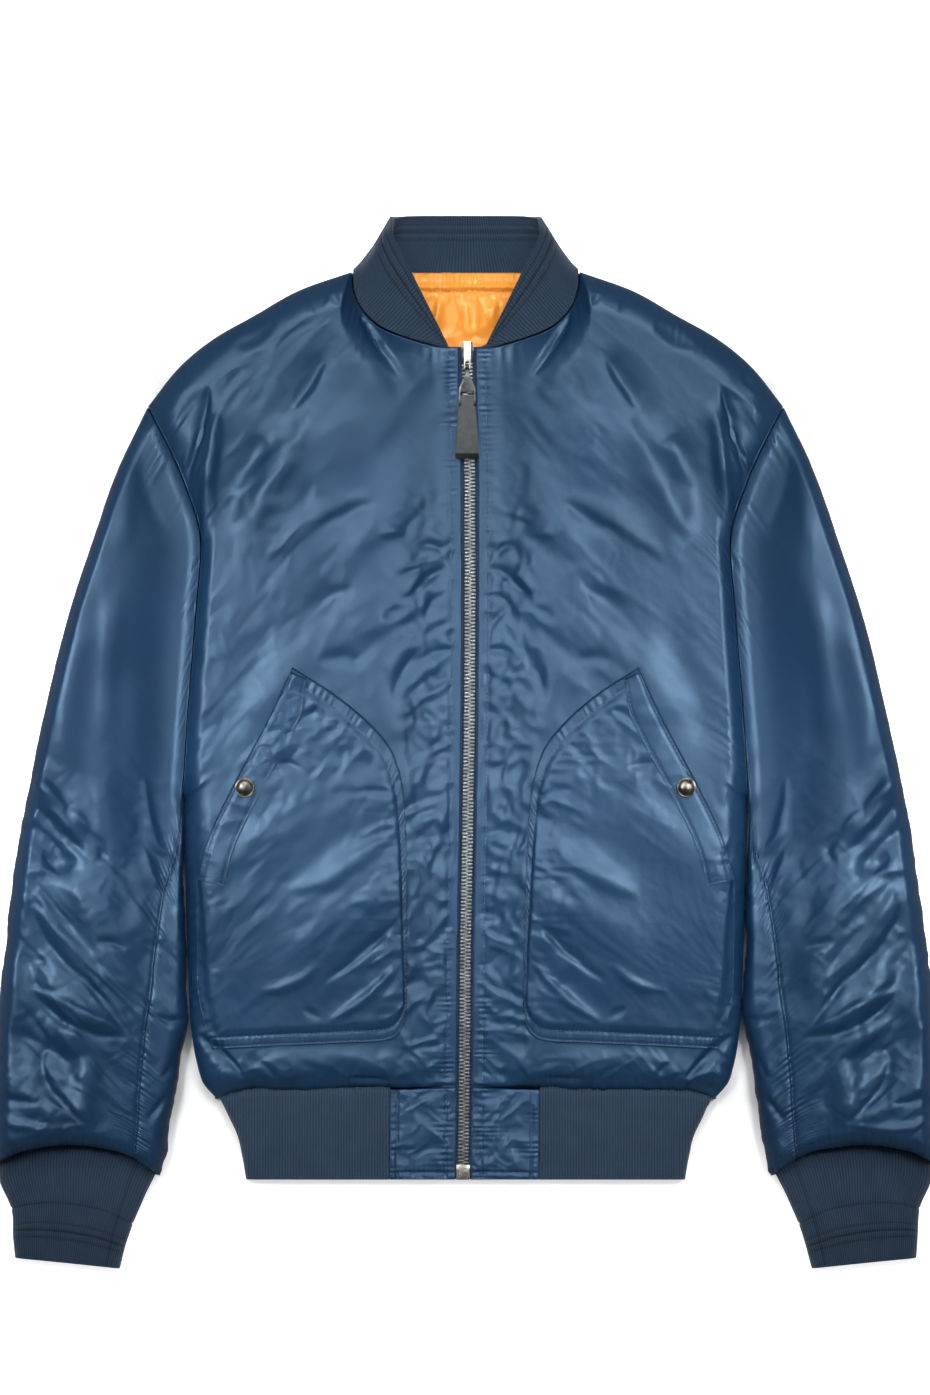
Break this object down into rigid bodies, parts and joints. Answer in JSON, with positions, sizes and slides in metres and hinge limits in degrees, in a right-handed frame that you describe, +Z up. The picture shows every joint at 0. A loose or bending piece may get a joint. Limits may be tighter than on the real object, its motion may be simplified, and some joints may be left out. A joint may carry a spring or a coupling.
{
  "type": "bomber jacket",
  "caption": "Nylon satin flight jacket laid flat face up and zipped, with knit collar, cuffs and hem, slanted snap pockets, an orange lining at the neck and a swinging zip pull",
  "frame": {"origin": "on the surface that the jacket lies on, under the middle of its whole width and length", "axes": "+Z up through the jacket from its back to its front, +Y towards the collar, +X towards the wearer's left sleeve"},
  "size_m": [0.7072, 0.7895, 0.0463],
  "materials": {
    "satin": "navy blue nylon satin with a soft sheen",
    "knit": "matte dark navy rib knit",
    "lining": "orange nylon with a soft sheen",
    "tape": "woven navy zip tape",
    "zip_metal": "worn silver teeth",
    "bright_metal": "bright nickel",
    "snap_metal": "antique nickel",
    "dark_metal": "dark gunmetal",
    "grip": "matte dark grey leather"
  },
  "bodies": {
    "jacket": {"back": "satin", "front_left": "satin", "front_right": "satin", "sleeve_outer_left": "satin", "sleeve_outer_right": "satin", "sleeve_under_left": "satin", "sleeve_under_right": "satin", "pocket_left": "satin", "pocket_right": "satin", "pocket_welt_left": "satin", "pocket_welt_right": "satin", "hem_panel_left": "satin", "hem_panel_right": "satin", "cuff_left": "knit", "cuff_right": "knit", "hem_band": "knit", "collar": "knit", "back_lining": "lining", "zip_tape_left": "tape", "zip_tape_right": "tape", "zip_chain": "zip_metal", "zip_slider": "bright_metal", "zip_box": "bright_metal", "snap_left": "snap_metal", "snap_right": "snap_metal"},
    "pull": {"pull_tab": "dark_metal", "pull_grip": "grip"}
  },
  "joints": [
    {"name": "pull_swing", "type": "hinge", "parent": "jacket", "child": "pull", "pos_m": [0.00129, 0.2819, 0.0236], "axis": [-1, 0, 0], "range_deg": [0, 150]}
  ]
}
